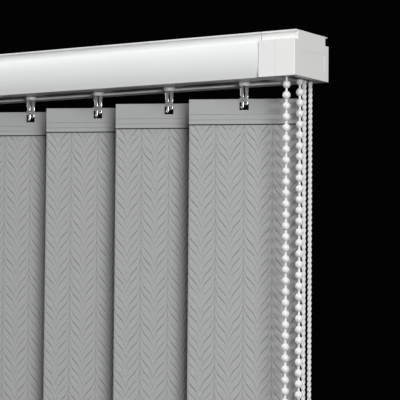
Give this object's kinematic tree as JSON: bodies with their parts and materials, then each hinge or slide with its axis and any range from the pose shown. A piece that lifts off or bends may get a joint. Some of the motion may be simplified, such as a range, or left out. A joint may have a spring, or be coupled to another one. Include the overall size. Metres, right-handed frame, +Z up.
{
  "type": "vertical blind",
  "caption": "Vertical blind with a white bow-fronted headrail, patterned grey fabric vanes on clear hooks, a bead chain that tilts them and a cord that draws them.",
  "frame": {"origin": "middle of the headrail's top face, which goes against the ceiling or its brackets", "axes": "+X along the rail to the control end, -Y to the room, +Z up"},
  "size_m": [0.3374, 0.04, 0.5],
  "materials": {
    "powder_coated_aluminium": "white powder coat on an aluminium extrusion",
    "white_housing_plastic": "white moulded plastic, fine satin",
    "white_acetal": "white moulded acetal",
    "clear_polycarbonate": "clear moulded polycarbonate, glossy",
    "grey_hanger_plastic": "mid grey moulded plastic, satin",
    "grey_jacquard_fabric": "mid grey woven fabric with a raised wheat-ear pattern",
    "coated_weight_steel": "thin flat steel weight with a pale plastic coat",
    "white_chain_plastic": "white moulded beads on a cord, satin gloss",
    "braided_cord": "pale twisted polyester cord",
    "mill_aluminium": "plain drawn aluminium bar",
    "bright_steel": "thin bright spring steel"
  },
  "bodies": {
    "rail": {"headrail": "powder_coated_aluminium", "control_housing": "white_housing_plastic", "control_end_cover": "white_housing_plastic", "idler_end_cap": "white_housing_plastic", "pulley_axle": "bright_steel", "bead_chain": "white_chain_plastic", "cord_runs": "braided_cord", "cord_loop": "braided_cord", "cord_weight": "white_housing_plastic", "weight_pin": "bright_steel", "carrier_1": "white_acetal", "spacer_1": "bright_steel"},
    "tilt_drive": {"tilt_rod": "mill_aluminium", "chain_wheel": "white_acetal"},
    "front_pulley": {"front_cord_pulley": "white_acetal"},
    "rear_pulley": {"rear_cord_pulley": "white_acetal"},
    "idler_pulley": {"return_pulley": "white_acetal"},
    "loop_wheel": {"weight_wheel": "white_acetal"},
    "worm_1": {"worm_1": "white_acetal"},
    "vane_1": {"hook_stem_1": "clear_polycarbonate", "hanger_1": "grey_hanger_plastic", "vane_1": "grey_jacquard_fabric", "bottom_weight_1": "coated_weight_steel"},
    "carrier_2": {"carrier_2": "white_acetal", "spacer_2": "bright_steel"},
    "worm_2": {"worm_2": "white_acetal"},
    "vane_2": {"hook_stem_2": "clear_polycarbonate", "hanger_2": "grey_hanger_plastic", "vane_2": "grey_jacquard_fabric", "bottom_weight_2": "coated_weight_steel"},
    "carrier_3": {"carrier_3": "white_acetal", "spacer_3": "bright_steel"},
    "worm_3": {"worm_3": "white_acetal"},
    "vane_3": {"hook_stem_3": "clear_polycarbonate", "hanger_3": "grey_hanger_plastic", "vane_3": "grey_jacquard_fabric", "bottom_weight_3": "coated_weight_steel"},
    "carrier_4": {"carrier_4": "white_acetal", "spacer_4": "bright_steel"},
    "worm_4": {"worm_4": "white_acetal"},
    "vane_4": {"hook_stem_4": "clear_polycarbonate", "hanger_4": "grey_hanger_plastic", "vane_4": "grey_jacquard_fabric", "bottom_weight_4": "coated_weight_steel"},
    "carrier_5": {"carrier_5": "white_acetal", "spacer_5": "bright_steel"},
    "worm_5": {"worm_5": "white_acetal"},
    "vane_5": {"hook_stem_5": "clear_polycarbonate", "hanger_5": "grey_hanger_plastic", "vane_5": "grey_jacquard_fabric", "bottom_weight_5": "coated_weight_steel"},
    "carrier_6": {"carrier_6": "white_acetal"},
    "worm_6": {"worm_6": "white_acetal"},
    "vane_6": {"hook_stem_6": "clear_polycarbonate", "hanger_6": "grey_hanger_plastic", "vane_6": "grey_jacquard_fabric", "bottom_weight_6": "coated_weight_steel"}
  },
  "joints": [
    {"name": "vane_1_tilt", "type": "hinge", "parent": "rail", "child": "vane_1", "pos_m": [0.12535, 0, -0.04], "axis": [0, 0, 1], "range_deg": [-8, 141]},
    {"name": "worm_1_spin", "type": "hinge", "parent": "rail", "child": "worm_1", "pos_m": [0.12535, -0.006, -0.013], "axis": [1, 0, 0], "range_deg": [-1692, 96]},
    {"name": "carrier_2_slide", "type": "slide", "parent": "rail", "child": "carrier_2", "axis": [1, 0, 0], "range_m": [0, 0.0348]},
    {"name": "vane_2_tilt", "type": "hinge", "parent": "carrier_2", "child": "vane_2", "pos_m": [0.07455, 0, -0.04], "axis": [0, 0, 1], "range_deg": [-8, 141]},
    {"name": "worm_2_spin", "type": "hinge", "parent": "carrier_2", "child": "worm_2", "pos_m": [0.07455, -0.006, -0.013], "axis": [1, 0, 0], "range_deg": [-1692, 96]},
    {"name": "carrier_3_slide", "type": "slide", "parent": "rail", "child": "carrier_3", "axis": [1, 0, 0], "range_m": [0, 0.0696]},
    {"name": "vane_3_tilt", "type": "hinge", "parent": "carrier_3", "child": "vane_3", "pos_m": [0.02375, 0, -0.04], "axis": [0, 0, 1], "range_deg": [-8, 141]},
    {"name": "worm_3_spin", "type": "hinge", "parent": "carrier_3", "child": "worm_3", "pos_m": [0.02375, -0.006, -0.013], "axis": [1, 0, 0], "range_deg": [-1692, 96]},
    {"name": "carrier_4_slide", "type": "slide", "parent": "rail", "child": "carrier_4", "axis": [1, 0, 0], "range_m": [0, 0.1044]},
    {"name": "vane_4_tilt", "type": "hinge", "parent": "carrier_4", "child": "vane_4", "pos_m": [-0.02705, 0, -0.04], "axis": [0, 0, 1], "range_deg": [-8, 141]},
    {"name": "worm_4_spin", "type": "hinge", "parent": "carrier_4", "child": "worm_4", "pos_m": [-0.02705, -0.006, -0.013], "axis": [1, 0, 0], "range_deg": [-1692, 96]},
    {"name": "carrier_5_slide", "type": "slide", "parent": "rail", "child": "carrier_5", "axis": [1, 0, 0], "range_m": [0, 0.1392]},
    {"name": "vane_5_tilt", "type": "hinge", "parent": "carrier_5", "child": "vane_5", "pos_m": [-0.07785, 0, -0.04], "axis": [0, 0, 1], "range_deg": [-8, 141]},
    {"name": "worm_5_spin", "type": "hinge", "parent": "carrier_5", "child": "worm_5", "pos_m": [-0.07785, -0.006, -0.013], "axis": [1, 0, 0], "range_deg": [-1692, 96]},
    {"name": "carrier_6_slide", "type": "slide", "parent": "rail", "child": "carrier_6", "axis": [1, 0, 0], "range_m": [0, 0.174]},
    {"name": "vane_6_tilt", "type": "hinge", "parent": "carrier_6", "child": "vane_6", "pos_m": [-0.12865, 0, -0.04], "axis": [0, 0, 1], "range_deg": [-8, 141]},
    {"name": "worm_6_spin", "type": "hinge", "parent": "carrier_6", "child": "worm_6", "pos_m": [-0.12865, -0.006, -0.013], "axis": [1, 0, 0], "range_deg": [-1692, 96]},
    {"name": "tilt_drive_spin", "type": "hinge", "parent": "rail", "child": "tilt_drive", "pos_m": [0, -0.006, -0.013], "axis": [1, 0, 0], "range_deg": [-1692, 96]},
    {"name": "front_pulley_spin", "type": "hinge", "parent": "rail", "child": "front_pulley", "pos_m": [0.15525, 0.007, -0.0147], "axis": [0, 1, 0], "range_deg": [0, 1995]},
    {"name": "rear_pulley_spin", "type": "hinge", "parent": "rail", "child": "rear_pulley", "pos_m": [0.15525, 0.014, -0.0147], "axis": [0, 1, 0], "range_deg": [-1995, 0]},
    {"name": "idler_pulley_spin", "type": "hinge", "parent": "rail", "child": "idler_pulley", "pos_m": [-0.16085, 0.0105, -0.0097], "axis": [0, 0, 1], "range_deg": [0, 2850]},
    {"name": "loop_wheel_spin", "type": "hinge", "parent": "rail", "child": "loop_wheel", "pos_m": [0.16025, 0.0105, -0.2885], "axis": [1, 0, 0], "range_deg": [0, 2850]}
  ],
  "couplings": [
    {"joint": "worm_1_spin", "follows": "vane_1_tilt", "ratio": -12},
    {"joint": "carrier_2_slide", "follows": "carrier_6_slide", "ratio": 0.2},
    {"joint": "vane_2_tilt", "follows": "vane_1_tilt", "ratio": 1},
    {"joint": "worm_2_spin", "follows": "vane_1_tilt", "ratio": -12},
    {"joint": "carrier_3_slide", "follows": "carrier_6_slide", "ratio": 0.4},
    {"joint": "vane_3_tilt", "follows": "vane_1_tilt", "ratio": 1},
    {"joint": "worm_3_spin", "follows": "vane_1_tilt", "ratio": -12},
    {"joint": "carrier_4_slide", "follows": "carrier_6_slide", "ratio": 0.6},
    {"joint": "vane_4_tilt", "follows": "vane_1_tilt", "ratio": 1},
    {"joint": "worm_4_spin", "follows": "vane_1_tilt", "ratio": -12},
    {"joint": "carrier_5_slide", "follows": "carrier_6_slide", "ratio": 0.8},
    {"joint": "vane_5_tilt", "follows": "vane_1_tilt", "ratio": 1},
    {"joint": "worm_5_spin", "follows": "vane_1_tilt", "ratio": -12},
    {"joint": "vane_6_tilt", "follows": "vane_1_tilt", "ratio": 1},
    {"joint": "worm_6_spin", "follows": "vane_1_tilt", "ratio": -12},
    {"joint": "tilt_drive_spin", "follows": "vane_1_tilt", "ratio": -12},
    {"joint": "front_pulley_spin", "follows": "carrier_6_slide", "rad_per_m": 200},
    {"joint": "rear_pulley_spin", "follows": "carrier_6_slide", "rad_per_m": -200},
    {"joint": "idler_pulley_spin", "follows": "carrier_6_slide", "rad_per_m": 285.71},
    {"joint": "loop_wheel_spin", "follows": "carrier_6_slide", "rad_per_m": 285.71}
  ]
}
